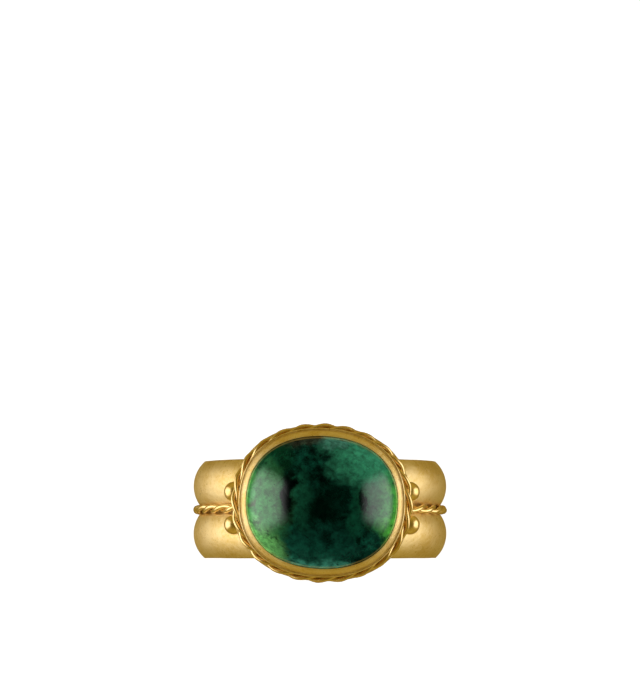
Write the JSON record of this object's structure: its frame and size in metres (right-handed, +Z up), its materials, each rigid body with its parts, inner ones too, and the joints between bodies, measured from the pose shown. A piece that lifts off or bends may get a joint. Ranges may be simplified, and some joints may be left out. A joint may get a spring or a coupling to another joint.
{
  "type": "cocktail ring",
  "caption": "Gold finger ring with two rounded bands, twisted wire trim and an oval green cabochon in a raised bezel.",
  "frame": {"origin": "centre of the finger bore", "axes": "+Y runs along the finger through the bore, +Z points up through the stone, +X runs across the finger"},
  "size_m": [0.0207, 0.0125, 0.0276],
  "materials": {
    "satin_gold": "18 ct yellow gold with a fine satin brushing",
    "polished_gold": "18 ct yellow gold, polished",
    "green_stone": "polished dark green tourmaline with natural inclusions"
  },
  "bodies": {
    "root": {"back_band": "satin_gold", "front_band": "satin_gold", "groove_strand_a": "polished_gold", "groove_strand_b": "polished_gold", "saddle_collar": "satin_gold", "base_plate": "satin_gold", "bezel_collet": "satin_gold", "bearing_strip": "satin_gold", "cabochon": "green_stone", "bezel_strand_a": "polished_gold", "bezel_strand_b": "polished_gold", "granule_left_back": "polished_gold", "granule_left_front": "polished_gold", "granule_right_back": "polished_gold", "granule_right_front": "polished_gold"}
  },
  "joints": []
}
